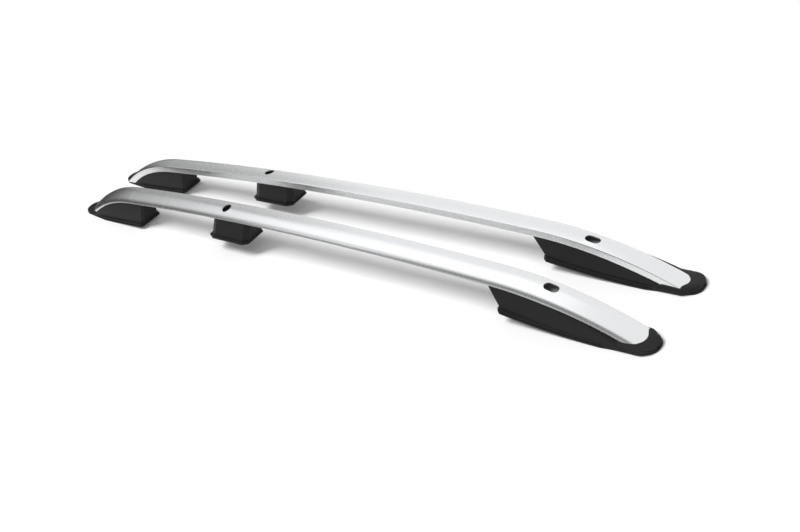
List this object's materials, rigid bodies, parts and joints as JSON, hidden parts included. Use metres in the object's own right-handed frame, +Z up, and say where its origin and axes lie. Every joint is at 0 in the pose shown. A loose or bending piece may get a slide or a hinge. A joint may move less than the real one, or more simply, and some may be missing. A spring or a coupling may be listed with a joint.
{
  "type": "roof side rail pair",
  "caption": "Handed pair of arched aluminium roof side rails on black moulded feet with rubber pads, bolted to a vehicle roof to carry cross bars.",
  "frame": {"origin": "on the ground under the middle of the pair", "axes": "+X towards the front ends, +Y towards the left rail, +Z up"},
  "size_m": [1.676, 0.2328, 0.1056],
  "materials": {
    "rail_aluminium": "satin anodised",
    "foot_plastic": "fine moulded grain",
    "pad_rubber": "matt",
    "zinc_steel": "bright zinc plated"
  },
  "bodies": {
    "root": {"right_bar": "rail_aluminium", "right_front_foot": "foot_plastic", "right_front_foot_screws": "zinc_steel", "right_front_pad": "pad_rubber", "right_front_bolt_sleeve": "zinc_steel", "right_middle_foot": "foot_plastic", "right_middle_foot_screws": "zinc_steel", "right_middle_bolt_sleeve": "zinc_steel", "right_rear_foot": "foot_plastic", "right_rear_foot_screws": "zinc_steel", "right_rear_pad": "pad_rubber", "left_bar": "rail_aluminium", "left_front_foot": "foot_plastic", "left_front_foot_screws": "zinc_steel", "left_front_pad": "pad_rubber", "left_front_bolt_sleeve": "zinc_steel", "left_middle_foot": "foot_plastic", "left_middle_foot_screws": "zinc_steel", "left_middle_bolt_sleeve": "zinc_steel", "left_rear_foot": "foot_plastic", "left_rear_foot_screws": "zinc_steel", "left_rear_pad": "pad_rubber"}
  },
  "joints": []
}
